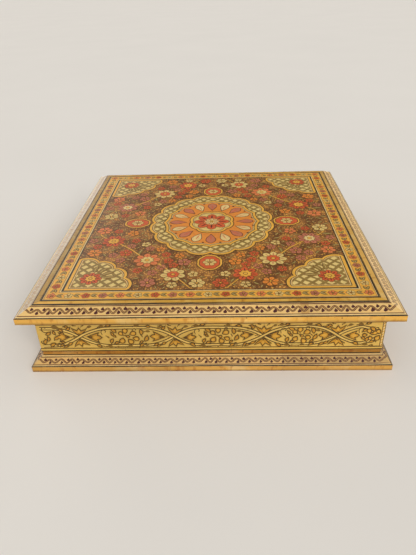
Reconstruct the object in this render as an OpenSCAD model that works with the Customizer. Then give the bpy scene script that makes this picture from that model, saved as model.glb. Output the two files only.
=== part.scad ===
// Painted bone box with a hinged lid
// A low wooden box and its lid, faced all over with thin painted bone plaques.
// Lengths are in millimetres. The origin is the middle of the underside, X is to the right,
// Y is to the back, where the hinges are, and Z is up. The box is drawn closed.

/* [Lid] */
// Width of the lid over its rim
lid_w = 200; // [160:1:260]
// Depth of the lid over its rim
lid_d = 212; // [160:1:280]
// Height of the plain rim round the lid
lid_rim_h = 3.6; // [2.8:0.1:6]
// Width of the sloping border of the lid, seen from above
bevel_w = 8; // [6:0.5:12]
// Fall of the sloping border of the lid
bevel_h = 3.8; // [2.8:0.1:6]
// Width of the plain strip round the painted panel
panel_border_w = 3.3; // [2:0.1:6]
// How far the lid hangs out over the walls
overhang = 7; // [5.5:0.5:10]

/* [Walls] */
// Height of the walls between the plinth and the lid
wall_h = 26.2; // [18:0.1:60]
// Thickness of the wooden walls behind their facing
wall_t = 6; // [5:0.5:9]
// Height of the plain strip at the foot of the walls
fillet_h = 2.9; // [2:0.1:5]
// How far that strip lies back from the plaques above it
fillet_recess = 0.3; // [0.1:0.1:0.6]

/* [Plinth and floor] */
// How far the plinth spreads out from the walls
plinth_out = 5.4; // [3.5:0.1:8]
// Fall of the plinth's slope
plinth_h = 4; // [2.5:0.1:7]
// Height of the plain rim under the plinth's slope
base_rim_h = 3.4; // [2.4:0.1:6]
// Thickness of the bottom board
floor_t = 4; // [3:0.5:6]
// How far the bottom board is let into the walls
floor_rebate = 3; // [2:0.5:4]
// Gap between the bottom board and the walls round it
floor_gap = 0.1; // [0.05:0.05:0.3]

/* [Bone facing] */
// Thickness of the plaques and strips
facing_t = 1.2; // [0.8:0.1:1.6]
// Width of the glue line between two plaques
seam = 0.1; // [0.05:0.05:0.3]
// Shortest end piece that the maker would cut
shortest_piece = 10; // [6:1:16]
// Length of a plaque on the lid's slope
bevel_piece_l = 46; // [30:1:70]
// Length of the first plaque on the lid's slope
bevel_first_l = 57; // [20:1:70]
// Length of a strip on the lid's rim
lid_rim_piece_l = 57; // [30:1:80]
// Length of the first strip on the lid's rim
lid_rim_first_l = 36.5; // [20:0.5:70]
// Length of a plaque on the walls
wall_piece_l = 58; // [30:1:80]
// Length of the first plaque on the walls
wall_first_l = 47; // [20:1:70]
// Length of a plaque on the plinth's slope
plinth_piece_l = 58; // [30:1:80]
// Length of the first plaque on the plinth's slope
plinth_first_l = 22; // [20:1:70]
// Length of a strip on the base's rim
base_rim_piece_l = 61; // [30:1:80]
// Length of the first strip on the base's rim
base_rim_first_l = 16; // [16:1:70]
// Number of plaques across the painted panel
panel_columns = 4; // [3:1:6]
// Number of plaques from front to back of the painted panel
panel_rows = 2; // [2:1:4]

/* [Lining] */
// Thickness of the velvet
lining_t = 0.8; // [0.5:0.1:1.2]
// Gap between the velvet on the lid and the wooden walls
lid_lining_gap = 1.4; // [1:0.1:3]
// How far the velvet on the walls stops below their top
lining_drop = 1.5; // [1.3:0.1:4]

/* [Hinges] */
// Length of each hinge
hinge_l = 24; // [20:1:32]
// Distance of each hinge's middle in from the corner of the walls
hinge_in = 38; // [28:1:60]
// How far each leaf reaches in from the wall's face
leaf_reach = 4.8; // [4.2:0.1:5.4]
// Thickness of each leaf
leaf_t = 0.8; // [0.7:0.1:1]
// Gap between the two leaves when the lid is shut
leaf_gap = 0.2; // [0.1:0.05:0.3]
// Outer diameter of the knuckles
knuckle_d = 3; // [2.8:0.1:3.6]
// Gap between the knuckles and what they turn in
knuckle_gap = 0.2; // [0.1:0.05:0.4]
// Diameter of the pins
pin_d = 1.2; // [1:0.1:1.4]
// Gap round the pins
pin_gap = 0.05; // [0.02:0.01:0.1]

/* [Screws] */
// Distance between the two screws of a leaf
screw_spacing = 14; // [10:1:16]
// Diameter of a screw's shank
screw_d = 1.2; // [1:0.1:1.6]
// Diameter of a screw's head
screw_head_d = 2.2; // [1.9:0.1:2.3]
// Length of a screw with its head
screw_l = 4; // [3:0.1:4.5]
// Gap round a screw in the leaf and in the wood
screw_gap = 0.05; // [0.03:0.01:0.1]
// Width of the slot in a screw's head
slot_w = 0.35; // [0.25:0.05:0.5]
// Depth of the slot in a screw's head
slot_depth = 0.25; // [0.15:0.05:0.35]

/* [Hidden] */
SIDES = ["front", "right", "back", "left"];
HINGES = ["left", "right"];
ROUND = 48;

// Colours
WOOD = [0.55, 0.38, 0.22];
BONE = [0.86, 0.73, 0.47];
GOLD = [0.88, 0.66, 0.30];
AMBER = [0.72, 0.49, 0.18];
VELVET = [0.42, 0.06, 0.08];
BRASS = [0.80, 0.63, 0.30];

// Half sizes of the walls' outer face
half_w = lid_w / 2 - overhang;
half_d = lid_d / 2 - overhang;

// Heights of the edges, from the underside up
waist_z = base_rim_h + plinth_h;
joint_z = waist_z + wall_h;
bevel_foot_z = joint_z + lid_rim_h;
top_z = bevel_foot_z + bevel_h;

// Distances out from the walls' outer face, where less than nothing is inwards
wood_out = -facing_t;
inner_out = -facing_t - wall_t;
lining_out = inner_out - lining_t;
bevel_top_out = overhang - bevel_w;
panel_out = bevel_top_out - panel_border_w;

// How far a horizontal cut through a sloping plaque reaches
bevel_cut = facing_t * bevel_w / bevel_h;
plinth_cut = facing_t * plinth_out / plinth_h;

// Places of the hinges
hinge_x = half_w - hinge_in;
pin_out = knuckle_d / 2 + knuckle_gap;
pin_y = half_d + pin_out;
leaf_edge_y = half_d - leaf_reach;
base_leaf_top = joint_z - leaf_gap / 2;
lid_leaf_foot = joint_z + leaf_gap / 2;
screw_y = half_d - (facing_t + leaf_reach) / 2;
relief_r = knuckle_d / 2 + knuckle_gap;

// Longer than anything that a cut goes through
beyond = lid_w + lid_d + top_z;
spare = 1;

function side_turn(side) = side == "front" ? 0 : side == "right" ? 90 : side == "back" ? 180 : 270;
function faces_y(side) = side == "front" || side == "back";
function half_run(side) = faces_y(side) ? half_w : half_d;
function face_at(side) = faces_y(side) ? half_d : half_w;
function hinge_side(hinge) = hinge == "left" ? -1 : 1;

// Distances of the seams from a run's left end, where a short last piece is left on its neighbour
function seams(length, first, piece) = [for (s = first; s < length - shortest_piece; s = s + piece) s];

// A rectangle's corners, from how far out and how high it starts and ends
function block(out_0, out_1, z_0, z_1) = [[out_0, z_0], [out_1, z_0], [out_1, z_1], [out_0, z_1]];

// One side's length of a moulding, mitred at both ends. A profile's point is how far out and how high it lies.
module run(side, profile) {
    half = half_run(side);
    face = face_at(side);
    reach = min(half, face) - spare;
    rotate([0, 0, side_turn(side)])
        intersection() {
            rotate([90, 0, 90])
                linear_extrude(height = beyond, center = true)
                    polygon([for (p = profile) [-(face + p[0]), p[1]]]);
            translate([0, 0, -spare])
                linear_extrude(height = top_z + 2 * spare)
                    polygon([
                        [reach - half, reach - face],
                        [half - reach, reach - face],
                        [half + reach, -face - reach],
                        [-half - reach, -face - reach]
                    ]);
        }
}

// The same run cut into pieces that butt with a glue line between them
module pieces(side, profile, outer, first, piece) {
    start = -half_run(side) - outer;
    difference() {
        run(side, profile);
        rotate([0, 0, side_turn(side)])
            for (s = seams(-2 * start, first, piece))
                translate([start + s, -beyond / 2, top_z / 2])
                    cube([seam, beyond, top_z + 2 * spare], center = true);
    }
}

// What both leaves of each hinge are let into
module leaf_mortises(z_0, z_1) {
    for (hinge = HINGES)
        translate([hinge_side(hinge) * hinge_x - hinge_l / 2 - knuckle_gap, leaf_edge_y - screw_gap, z_0])
            cube([hinge_l + 2 * knuckle_gap, leaf_reach + pin_out, z_1 - z_0]);
}

module along_pin(hinge, r, length) {
    translate([hinge_side(hinge) * hinge_x, pin_y, joint_z])
        rotate([0, 90, 0])
            cylinder(h = length, r = r, center = true, $fn = ROUND);
}

// Puts its child at each screw of one hinge
module at_screws(hinge, z) {
    for (s = [-1, 1])
        translate([hinge_side(hinge) * hinge_x + s * screw_spacing / 2, screw_y, z])
            children();
}

// A countersunk screw that points down, with its head's face at nothing. A hole for it is made with a gap.
module screw_form(gap) {
    shank_r = screw_d / 2 + gap;
    head_r = screw_head_d / 2 + gap;
    rotate_extrude($fn = ROUND)
        polygon([
            [0, gap > 0 ? spare : 0],
            [head_r, gap > 0 ? spare : 0],
            [head_r, 0],
            [shank_r, shank_r - head_r],
            [shank_r, -screw_l - gap],
            [0, -screw_l - gap]
        ]);
}

module screw() {
    difference() {
        screw_form(0);
        cube([slot_w, screw_head_d + spare, 2 * slot_depth], center = true);
    }
}

module screw_holes(z, points_up) {
    for (hinge = HINGES)
        at_screws(hinge, z)
            mirror([0, 0, points_up ? 1 : 0])
                screw_form(screw_gap);
}

module bottom_board() {
    inset = -inner_out - floor_rebate + floor_gap;
    size_x = 2 * (half_w - inset);
    size_y = 2 * (half_d - inset);
    color(WOOD)
        translate([-size_x / 2, -size_y / 2, 0])
            cube([size_x, size_y, floor_t]);
}

module wall(side) {
    color(WOOD)
        difference() {
            run(side, [
                [wood_out, 0],
                [wood_out, joint_z],
                [inner_out, joint_z],
                [inner_out, floor_t],
                [inner_out + floor_rebate, floor_t],
                [inner_out + floor_rebate, 0]
            ]);
            if (side == "back") {
                leaf_mortises(base_leaf_top - leaf_t, joint_z + spare);
                screw_holes(base_leaf_top, false);
            }
        }
}

module plinth(side) {
    color(WOOD)
        run(side, [
            [wood_out, 0],
            [plinth_out - facing_t, 0],
            [plinth_out - facing_t, base_rim_h],
            [plinth_out - plinth_cut, base_rim_h],
            [0, waist_z - facing_t],
            [wood_out, waist_z - facing_t]
        ]);
}

module wall_plaques(side) {
    color(BONE)
        difference() {
            pieces(side, block(wood_out, 0, waist_z + fillet_h, joint_z), 0, wall_first_l, wall_piece_l);
            if (side == "back")
                leaf_mortises(base_leaf_top - leaf_t, joint_z + spare);
        }
}

module fillet(side) {
    color(AMBER)
        pieces(
            side, block(wood_out, -fillet_recess, waist_z, waist_z + fillet_h), 0, wall_first_l, wall_piece_l
        );
}

module plinth_plaques(side) {
    color(BONE)
        pieces(
            side,
            [
                [plinth_out, base_rim_h],
                [0, waist_z],
                [wood_out, waist_z],
                [wood_out, waist_z - facing_t],
                [0, waist_z - facing_t],
                [plinth_out - plinth_cut, base_rim_h]
            ],
            plinth_out, plinth_first_l, plinth_piece_l
        );
}

module base_rim(side) {
    color(GOLD)
        pieces(
            side, block(plinth_out - facing_t, plinth_out, 0, base_rim_h),
            plinth_out, base_rim_first_l, base_rim_piece_l
        );
}

module floor_lining() {
    size_x = 2 * (half_w + inner_out - floor_gap);
    size_y = 2 * (half_d + inner_out - floor_gap);
    color(VELVET)
        translate([-size_x / 2, -size_y / 2, floor_t])
            cube([size_x, size_y, lining_t]);
}

module wall_lining(side) {
    color(VELVET)
        run(side, block(lining_out, inner_out, floor_t + lining_t, joint_z - lining_drop));
}

// One leaf of a hinge with its knuckles. The base's leaf has the two outer knuckles, and the lid's the middle one.
module leaf(hinge, on_lid) {
    z = on_lid ? lid_leaf_foot : base_leaf_top - leaf_t;
    knuckle_l = (hinge_l - 2 * knuckle_gap) / 3;
    color(BRASS)
        difference() {
            union() {
                translate([hinge_side(hinge) * hinge_x - hinge_l / 2, leaf_edge_y, z])
                    cube([hinge_l, pin_y - leaf_edge_y, leaf_t]);
                along_pin(hinge, knuckle_d / 2, hinge_l);
            }
            if (on_lid)
                for (s = [-1, 1])
                    translate([s * (knuckle_l + knuckle_gap), 0, 0])
                        along_pin(hinge, relief_r, knuckle_l + 2 * knuckle_gap);
            else
                along_pin(hinge, relief_r, knuckle_l + 2 * knuckle_gap);
            along_pin(hinge, pin_d / 2 + pin_gap, hinge_l + 2 * spare);
            at_screws(hinge, on_lid ? lid_leaf_foot : base_leaf_top)
                mirror([0, 0, on_lid ? 1 : 0])
                    screw_form(screw_gap);
        }
}

module hinge_pin(hinge) {
    color(BRASS)
        along_pin(hinge, pin_d / 2, hinge_l);
}

module hinge_screws(z, points_up) {
    color(BRASS)
        for (hinge = HINGES)
            at_screws(hinge, z)
                mirror([0, 0, points_up ? 1 : 0])
                    screw();
}

// A tapering board, cut in below for the leaves and the knuckles
module lid_board() {
    color(WOOD)
        difference() {
            intersection() {
                rotate([90, 0, 0])
                    linear_extrude(height = beyond, center = true)
                        polygon(board_outline(half_w));
                rotate([90, 0, 90])
                    linear_extrude(height = beyond, center = true)
                        polygon(board_outline(half_d));
            }
            leaf_mortises(joint_z - spare, lid_leaf_foot + leaf_t);
            screw_holes(lid_leaf_foot, true);
            for (hinge = HINGES)
                along_pin(hinge, relief_r, hinge_l + 2 * knuckle_gap);
        }
}

function board_outline(half) = [
    [-half - overhang + facing_t, joint_z],
    [half + overhang - facing_t, joint_z],
    [half + overhang - facing_t, bevel_foot_z],
    [half + overhang - bevel_cut, bevel_foot_z],
    [half + bevel_top_out, top_z - facing_t],
    [-half - bevel_top_out, top_z - facing_t],
    [-half - overhang + bevel_cut, bevel_foot_z],
    [-half - overhang + facing_t, bevel_foot_z]
];

// The painted panel, a grid of plaques that butt
module lid_panel_plaques() {
    size_x = 2 * (half_w + panel_out);
    size_y = 2 * (half_d + panel_out);
    column = size_x / panel_columns;
    row = size_y / panel_rows;
    color(BONE)
        for (i = [0 : panel_columns - 1])
            for (j = [0 : panel_rows - 1])
                translate([i * column - size_x / 2 + seam / 2, j * row - size_y / 2 + seam / 2, top_z - facing_t])
                    cube([column - seam, row - seam, facing_t]);
}

module lid_border(side) {
    color(GOLD)
        run(side, block(panel_out, bevel_top_out, top_z - facing_t, top_z));
}

module lid_bevel(side) {
    color(BONE)
        pieces(
            side,
            [
                [overhang, bevel_foot_z],
                [bevel_top_out, top_z],
                [bevel_top_out, top_z - facing_t],
                [overhang - bevel_cut, bevel_foot_z]
            ],
            overhang, bevel_first_l, bevel_piece_l
        );
}

module lid_rim(side) {
    color(GOLD)
        pieces(
            side, block(overhang - facing_t, overhang, joint_z, bevel_foot_z),
            overhang, lid_rim_first_l, lid_rim_piece_l
        );
}

module lid_lining() {
    size_x = 2 * (half_w + inner_out - lid_lining_gap);
    size_y = 2 * (half_d + inner_out - lid_lining_gap);
    color(VELVET)
        translate([-size_x / 2, -size_y / 2, joint_z - lining_t])
            cube([size_x, size_y, lining_t]);
}

bottom_board();
floor_lining();
hinge_screws(base_leaf_top, false);  // base_hinge_screws
lid_board();
lid_panel_plaques();
lid_lining();
hinge_screws(lid_leaf_foot, true);  // lid_hinge_screws
for (side = SIDES) {
    wall(side);
    plinth(side);
    wall_plaques(side);
    fillet(side);
    plinth_plaques(side);
    base_rim(side);
    wall_lining(side);
    lid_border(side);
    lid_bevel(side);
    lid_rim(side);
}
for (hinge = HINGES) {
    leaf(hinge, false);
    leaf(hinge, true);
    hinge_pin(hinge);
}
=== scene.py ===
"""Looks of a painted bone box with a hinged lid: its camera, light, finishes and painted ornament.

Sizes are millimetres in the model's frame: +X right, +Y back, +Z up, origin under the middle.
On a face of the box, a point is a complex number: the real part runs along the face to the
right, seen from outside, and the imaginary part runs up it.
"""

import cmath
import math
import random

import bmesh
import bpy
from mathutils import Euler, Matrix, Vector, noise


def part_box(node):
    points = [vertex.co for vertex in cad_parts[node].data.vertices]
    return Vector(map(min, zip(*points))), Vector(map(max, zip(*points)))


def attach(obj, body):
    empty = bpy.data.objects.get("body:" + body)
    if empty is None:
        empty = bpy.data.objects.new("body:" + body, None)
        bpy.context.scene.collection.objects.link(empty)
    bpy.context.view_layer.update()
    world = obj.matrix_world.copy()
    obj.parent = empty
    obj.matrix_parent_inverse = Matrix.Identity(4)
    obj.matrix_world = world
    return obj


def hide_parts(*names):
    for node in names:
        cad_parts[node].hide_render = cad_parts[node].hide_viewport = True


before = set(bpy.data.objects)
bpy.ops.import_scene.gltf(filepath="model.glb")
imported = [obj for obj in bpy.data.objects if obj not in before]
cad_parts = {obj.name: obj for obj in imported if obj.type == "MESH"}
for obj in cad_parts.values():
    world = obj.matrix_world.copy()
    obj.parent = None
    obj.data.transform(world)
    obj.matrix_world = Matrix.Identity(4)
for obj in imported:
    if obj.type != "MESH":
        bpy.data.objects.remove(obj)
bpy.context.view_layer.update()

MM = 0.001
UP = Vector((0, 0, 1))

# Sides by the turn that takes the front to them, in degrees
SIDES = {"front": 0, "right": 90, "back": 180, "left": 270}

# Camera: place, turn about X, Y and Z in degrees, and lens and sensor in mm
CAMERA_PLACE = (10.6, -306.8, 183.8)
CAMERA_TURN = (58.58, 1.84, 1.60)
CAMERA_LENS = 31.8
SENSOR = 36

# Thickness of one coat of paint, and how far a coat reaches down into what it is painted on
COAT = 0.025
SUNK = 0.05
# The golden ratio, whose multiples never meet, for the heights of the slabs of paint
GOLDEN = (math.sqrt(5) - 1) / 2
# Distance under which two points are one
TINY = 1e-6
# A corner is sharp where the two unit steps that meet in it add up to less than the first value. Its tip then
# moves the second value times as far as the sides
SHARP = 0.7
SHARP_MOVE = 1.5
# Distance between the points of a line along a face
RULE_STEP = 6

# Colours of the bone and of the paints, as sRGB from 0 to 255
BONE = {
    "lid_slope": (230, 190, 118),
    "plinth_slope": (218, 177, 106),
    # The wall's bone is darker than the slopes': partly its yellower varnish, partly painted shade under the
    # lid's overhang
    "wall": (206, 168, 80),
    "gold": (234, 176, 74),
    "gold_low": (214, 160, 72),
    "gold_border": (242, 182, 64),
    "amber": (198, 134, 38),
}
# Pieces of bone coloured with painted light: painted sheen on the left slope, paler right side, darker left
# strip
BONE_LIT_AND_SHADED_BY_SIDE = {
    "left_lid_bevel": (190, 170, 132),
    "left_lid_border": (200, 154, 72),
    "right_lid_bevel": (255, 218, 146),
    "right_lid_border": (238, 186, 92),
}
INKS = {
    "black": (44, 34, 20),
    "olive_dark": (76, 50, 4),
    "stem_brown": (106, 54, 26),
    "line_brown": (98, 54, 30),
    "maroon": (74, 24, 20),
    "motif_gold": (184, 130, 30),
    "motif_light": (204, 154, 52),
    "cream": (226, 196, 116),
    "pale": (230, 198, 130),
    "wall_light": (220, 183, 94),
    "patch": (196, 152, 84),
    "wash": (190, 151, 64),
    # Paler inks of the side slopes, partly wear and partly painted light
    "worn_and_lit": (176, 138, 96),
    "worn_and_lit_dark": (146, 112, 66),
    "smudge": (124, 90, 22),
    "olive": (152, 122, 56),
    "leaf_green": (132, 112, 46),
    "orange": (228, 140, 52),
    "red": (212, 94, 46),
    "salmon": (226, 130, 72),
    "mauve": (196, 118, 84),
    "purple": (146, 74, 54),
    "ochre": (234, 174, 66),
    "brown": (170, 114, 52),
    "brown_dark": (110, 68, 27),
}
# How much of a surface's gloss shows through wax and dust
GLOSS = 0.45
# Paler inks for the lid's side slopes: partly wear, partly painted sheen on the left and painted light on the
# right
INKS_WORN_AND_LIT = {"black": "worn_and_lit_dark", "maroon": "worn_and_lit", "stem_brown": "worn_and_lit", "line_brown": "worn_and_lit"}


def linear(colour):
    """An sRGB colour from 0 to 255 as the linear red, green, blue and alpha of a shader."""
    shares = [part / 255 for part in colour]
    return (*[part / 12.92 if part < 0.04045 else ((part + 0.055) / 1.055) ** 2.4 for part in shares], 1)


# Places taken from the frame


def reach(side, node):
    """How far out and how high a node of one side goes: lowest and highest of each, in mm."""
    turn = math.radians(SIDES[side])
    out = Vector((math.sin(turn), -math.cos(turn), 0))
    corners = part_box(f"{side}_{node}")
    outs = sorted(corner.dot(out) / MM for corner in corners)
    return outs[0], outs[1], corners[0].z / MM, corners[1].z / MM


def neighbour(side):
    """The side that a side's run meets at its ends."""
    return "right" if SIDES[side] % 180 == 0 else "front"


class Face:
    """A flat face of one side, from its low edge, as long as a run, to its high edge, both as (out, z)."""

    def __init__(self, side, low, high, run=None):
        turn = math.radians(SIDES[side])
        out, rise = high[0] - low[0], high[1] - low[1]
        outward = Vector((math.sin(turn), -math.cos(turn), 0))
        self.side = side
        self.height = math.hypot(out, rise)
        self.along = Vector((math.cos(turn), math.sin(turn), 0))
        self.up = (outward * out + UP * rise) / self.height
        self.normal = self.along.cross(self.up)
        self.origin = outward * low[0] + UP * low[1]
        self.half_low = reach(neighbour(side), run)[1] if run else 0
        self.narrowing = out / self.height

    def half(self, up):
        """Half the length of the face at a height up it."""
        return self.half_low + self.narrowing * up

    def place(self, point, lift):
        """A point of the face, lifted off it, in metres."""
        return (self.origin + self.along * point.real + self.up * point.imag + self.normal * lift) * MM


def lid_slope(side):
    outer, inner = reach(side, "lid_rim"), reach(side, "lid_border")
    return Face(side, (outer[1], outer[3]), (inner[1], inner[3]), "lid_rim")


def lid_strip(side):
    near, far, _, top = reach(side, "lid_border")
    return Face(side, (far, top), (near, top), "lid_border")


def plinth_slope(side):
    rim = reach(side, "base_rim")
    inner = (reach(side, "wall_plaques")[1], reach(side, "fillet")[2])
    return Face(side, (rim[1], rim[3]), inner, "base_rim")


def upright_face(side, run):
    """The upright outer face of a run."""
    _, far, low, top = reach(side, run)
    return Face(side, (far, low), (far, top), run)


def panel_corner():
    """The right far corner of the panel, from its middle, and its height."""
    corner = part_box("lid_panel_plaques")[1] / MM
    return complex(corner.x, corner.y), corner.z


def panel_face():
    top = panel_corner()[1]
    return Face("front", (0, top), (-1, top))


# Outlines and lines


def leaf(base, tip, width, bend=0.0, plump=1.0, blunt=1.0):
    """Outline of a leaf or petal. Plump under 1 is widest near the base, and blunt under 1 has round ends."""
    axis = tip - base
    steps = 7 if abs(axis) < 5 else 11
    side = axis * 1j / abs(axis)
    left, right = [], []
    for step in range(1, steps):
        share = (1 - math.cos(math.pi * step / steps)) / 2
        spine = base + axis * share + side * bend * math.sin(math.pi * share)
        half = width / 2 * math.sin(math.pi * share**plump) ** blunt
        left.append(spine + side * half)
        right.append(spine - side * half)
    return [base, *right, tip, *reversed(left)]


def disc(centre, radius, steps=10):
    return [centre + cmath.rect(radius, math.tau * step / steps) for step in range(steps)]


def figure(profile, base, aim, size):
    """A shape that is alike on both sides of its axis, from half its outline as (along, across)."""
    turn = cmath.rect(size, aim)
    right = [base + turn * complex(along, -across) for along, across in profile]
    left = [base + turn * complex(along, across) for along, across in reversed(profile)]
    return right + [point for point in left if min(abs(point - right[0]), abs(point - right[-1])) > TINY]


def grown(outline, by):
    """The outline moved outward by a distance, or inward by a negative one, with its corners kept."""
    area = sum((a.conjugate() * b).imag for a, b in zip(outline, outline[1:] + outline[:1]))
    outward = -1j * math.copysign(1, area)
    moved = []
    for before, here, after in zip(outline[-1:] + outline[:-1], outline, outline[1:] + outline[:1]):
        come = (here - before) / max(abs(here - before), TINY)
        leave = (after - here) / max(abs(after - here), TINY)
        both = come + leave
        if abs(both) > SHARP:
            moved.append(here + outward * both * by * 2 / abs(both) ** 2)
        else:
            moved.append(here + (come - leave) / abs(come - leave) * by * SHARP_MOVE)
    return moved


def shifted(line, by):
    """A line moved to its left by a distance, or by one distance for each of its points."""
    steps = by if isinstance(by, list) else [by] * len(line)
    moved = []
    for before, here, after, step in zip(line[:1] + line[:-1], line, line[1:] + line[-1:], steps):
        moved.append(here + 1j * (after - before) / max(abs(after - before), TINY) * step)
    return moved


def curve(points, steps=8):
    """A smooth line through a few points."""
    spread = [2 * points[0] - points[1], *points, 2 * points[-1] - points[-2]]
    line = []
    for a, b, c, d in zip(spread, spread[1:], spread[2:], spread[3:]):
        for step in range(steps):
            share = step / steps
            bend = (2 * a - 5 * b + 4 * c - d) * share**2 + (3 * b - a - 3 * c + d) * share**3
            line.append(b + ((c - a) * share + bend) / 2)
    return [*line, points[-1]]


def hand(place, key, size, stretch=25.0):
    """How far a painter's hand strays at a place along a line."""
    return size * noise.noise(Vector((place / stretch, key * 7.31, 0.5)))


def new_object(name, points, faces):
    mesh = bpy.data.meshes.new(name)
    mesh.from_pydata(points, [], faces)
    made = bpy.data.objects.new(name, mesh)
    bpy.context.scene.collection.objects.link(made)
    return made


def quads(low, high):
    """Faces between two rows of as many points."""
    return [[a, b, d, c] for a, b, c, d in zip(low, low[1:], high, high[1:])]


def closed(row):
    return row + row[:1]


class Paint:
    """Thin closed slabs of paint on one face, which become one piece."""

    def __init__(self, face):
        self.face = face
        self.flip = (1, 1)
        self.worn_and_lit_inks = {}
        self.points = []
        self.faces = []
        self.slots = []
        self.inks = []
        self.slabs = 0

    def lift(self, coat):
        """Height of the next slab. The golden ratio spreads the heights, so that no two lie in one plane."""
        self.slabs += 1
        return COAT * (coat + self.slabs * GOLDEN % 1)

    def lay(self, ring, lift):
        """Adds a ring of points, mirrored if the painter's hand is, and gives their numbers."""
        first = len(self.points)
        across, along = self.flip
        self.points += [self.face.place(complex(p.real * across, p.imag * along), lift) for p in ring]
        return list(range(first, len(self.points)))

    def add(self, faces, ink):
        ink = self.worn_and_lit_inks.get(ink, ink)
        if ink not in self.inks:
            self.inks.append(ink)
        self.faces += faces
        self.slots += [self.inks.index(ink)] * len(faces)

    def patch(self, outline, ink, coat):
        """A slab with that outline."""
        top = self.lay(outline, self.lift(coat))
        low = self.lay(outline, -SUNK)
        self.add([top, low[::-1], *quads(closed(low), closed(top))], ink)

    def strip(self, right, left, ink, coat):
        """A slab between two lines of as many points, the second to the left of the first."""
        top = self.lift(coat)
        a, b, c, d = [self.lay(line, height) for height in (top, -SUNK) for line in (right, left)]
        faces = quads(a, b) + quads(b, d) + quads(d, c) + quads(c, a)
        self.add([*faces, [a[0], b[0], d[0], c[0]], [c[-1], d[-1], b[-1], a[-1]]], ink)

    def ring(self, outer, inner, ink, coat):
        """A slab between two closed outlines of as many points."""
        top = self.lift(coat)
        a, b, c, d = [closed(self.lay(line, height)) for height in (top, -SUNK) for line in (outer, inner)]
        self.add(quads(a, b) + quads(b, d) + quads(d, c) + quads(c, a), ink)

    def rims(self, outline, widths, coat):
        """Rims inside an outline, one in the other, as (width, ink). Gives the outline that is left."""
        for width, ink in widths:
            inner = grown(outline, -width)
            self.ring(outline, inner, ink, coat)
            outline = inner
        return outline

    def stroke(self, line, width, ink, coat, taper=0.0):
        """A brush stroke along a line. Taper is the share of its width that is lost towards the ends."""
        last = len(line) - 1
        halves = [width / 2 * (1 - taper * abs(2 * i / last - 1) ** 1.5) for i in range(last + 1)]
        self.strip(shifted(line, [-half for half in halves]), shifted(line, halves), ink, coat)

    def rule(self, up, width, ink, coat, stray=0.12):
        """A line along the whole face at a height up it, mitred at both ends and drawn by hand."""
        key = up + 11 * SIDES[self.face.side]
        sides = []
        for edge in (up - width / 2, up + width / 2):
            half = self.face.half(edge)
            count = round(2 * half / RULE_STEP)
            line = []
            for step in range(count + 1):
                s = half * (2 * step / count - 1)
                line.append(complex(s, edge + hand(s, key, stray) + hand(s, key + edge, width / 4, 6)))
            sides.append(line)
        self.strip(*sides, ink, coat)

    def rules(self, lines):
        """Lines along the face, each as (up, width, ink, coat). An up under 0 counts down from the top."""
        for up, *rest in lines:
            self.rule(up if up > 0 else self.face.height + up, *rest)

    def motif(self, outline, fill, coat=1, pen="olive_dark", width=0.4):
        """A shape with a drawn outline round it."""
        self.patch(grown(outline, width / 2), pen, coat)
        self.patch(grown(outline, -width / 2), fill, coat + 1)

    def piece(self, name, body):
        """Joins what was painted into one piece that rides on a body."""
        made = new_object(name, self.points, self.faces)
        mesh = made.data
        for ink in self.inks:
            mesh.materials.append(ink_material(ink))
        mesh.polygons.foreach_set("material_index", self.slots)
        shape = bmesh.new()
        shape.from_mesh(mesh)
        bmesh.ops.recalc_face_normals(shape, faces=shape.faces)
        shape.to_mesh(mesh)
        shape.free()
        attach(made, body)


# Materials


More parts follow.
